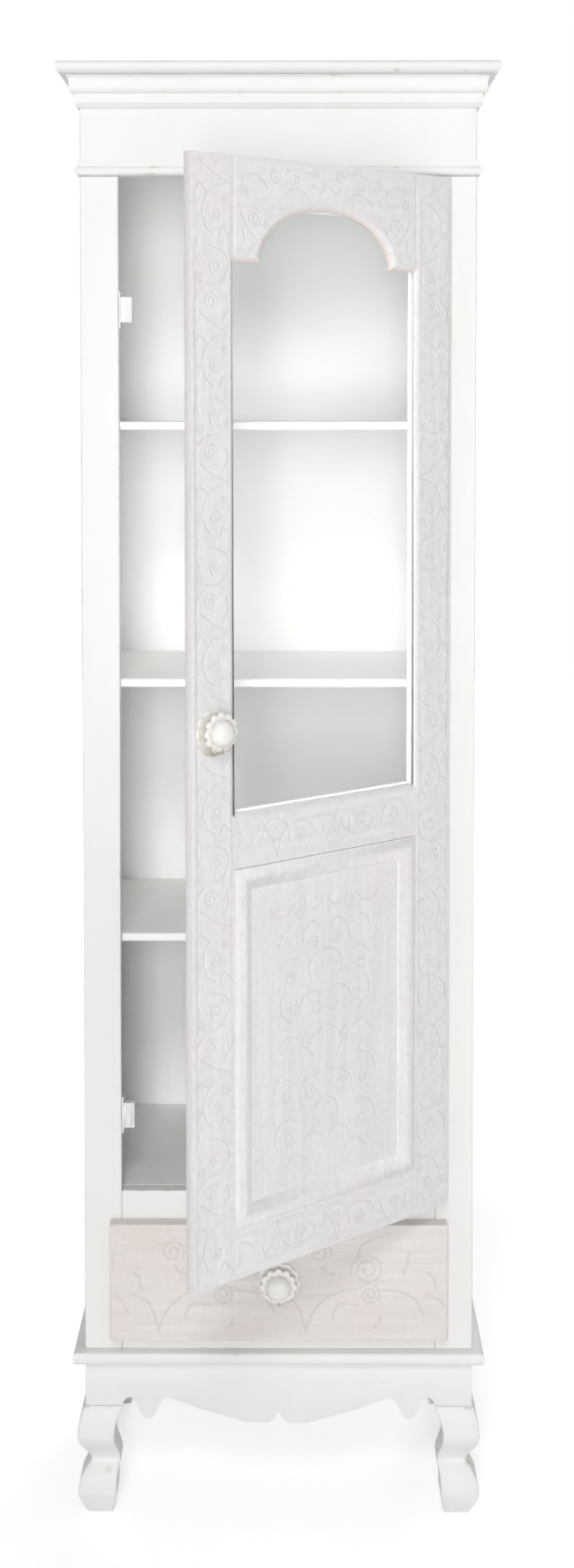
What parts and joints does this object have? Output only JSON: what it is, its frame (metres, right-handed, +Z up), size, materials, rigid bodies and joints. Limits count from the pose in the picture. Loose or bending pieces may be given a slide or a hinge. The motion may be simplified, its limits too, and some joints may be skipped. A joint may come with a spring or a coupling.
{
  "type": "glazed display cabinet",
  "caption": "Tall painted cabinet with an arched glazed door over a moulded panel, shelves inside, a drawer below, scalloped apron, cabriole legs and a moulded crown.",
  "frame": {"origin": "on the floor under the middle of the object's bounding box with the door ajar as stored", "axes": "+X to the right seen from the front, the front faces -Y, +Z up"},
  "size_m": [0.5364, 0.6192, 1.8],
  "materials": {
    "white_paint": "chalky white paint, rubbed at the edges",
    "whitewashed_carving": "whitewashed wood with shallow carved scrolls",
    "drawer_wood": "plain sanded softwood",
    "cream_knob": "cream paint worn to brown in the recesses",
    "clear_glass": "clear float glass",
    "hinge_brass": "satin",
    "strike_steel": "zinc plated",
    "catch_plastic": "white moulded plastic"
  },
  "bodies": {
    "carcass": {"apron_back": "white_paint", "apron_front": "white_paint", "apron_left": "white_paint", "apron_right": "white_paint", "astragal_front": "white_paint", "astragal_left": "white_paint", "astragal_right": "white_paint", "back_panel": "white_paint", "base_slab": "white_paint", "bottom_rail": "white_paint", "catch_lower": "catch_plastic", "catch_upper": "catch_plastic", "cornice_front": "white_paint", "cornice_left": "white_paint", "cornice_right": "white_paint", "crown_cap": "white_paint", "drawer_runner_left": "drawer_wood", "drawer_runner_right": "drawer_wood", "face_stile_left": "white_paint", "face_stile_right": "white_paint", "floor_panel": "white_paint", "frieze_rail": "white_paint", "hinge_lower_frame_leaf": "hinge_brass", "hinge_lower_pin": "hinge_brass", "hinge_upper_frame_leaf": "hinge_brass", "hinge_upper_pin": "hinge_brass", "leg_back_left": "white_paint", "leg_back_right": "white_paint", "leg_front_left": "white_paint", "leg_front_right": "white_paint", "mid_rail": "white_paint", "shelf_lower": "white_paint", "shelf_middle": "white_paint", "shelf_upper": "white_paint", "side_panel_left": "white_paint", "side_panel_right": "white_paint", "top_panel": "white_paint"},
    "door": {"door_glass": "clear_glass", "door_knob": "cream_knob", "door_panel": "whitewashed_carving", "door_rail_bottom": "whitewashed_carving", "door_rail_lock": "whitewashed_carving", "door_rail_top": "whitewashed_carving", "door_stile_hinge": "whitewashed_carving", "door_stile_lock": "whitewashed_carving", "glass_bead_bottom": "white_paint", "glass_bead_left": "white_paint", "glass_bead_right": "white_paint", "glass_bead_top": "white_paint", "hinge_lower_door_leaf": "hinge_brass", "hinge_upper_door_leaf": "hinge_brass", "strike_plate_lower": "strike_steel", "strike_plate_upper": "strike_steel"},
    "drawer": {"drawer_back": "drawer_wood", "drawer_bottom": "drawer_wood", "drawer_front": "whitewashed_carving", "drawer_knob": "cream_knob", "drawer_side_left": "drawer_wood", "drawer_side_right": "drawer_wood"}
  },
  "joints": [
    {"name": "door_hinge", "type": "hinge", "parent": "carcass", "child": "door", "pos_m": [0.2024, -0.02366, 1.031], "axis": [0, 0, 1], "range_deg": [-41.7, 68.3]},
    {"name": "drawer_slide", "type": "slide", "parent": "carcass", "child": "drawer", "axis": [0, -1, 0], "range_m": [0, 0.22]}
  ]
}
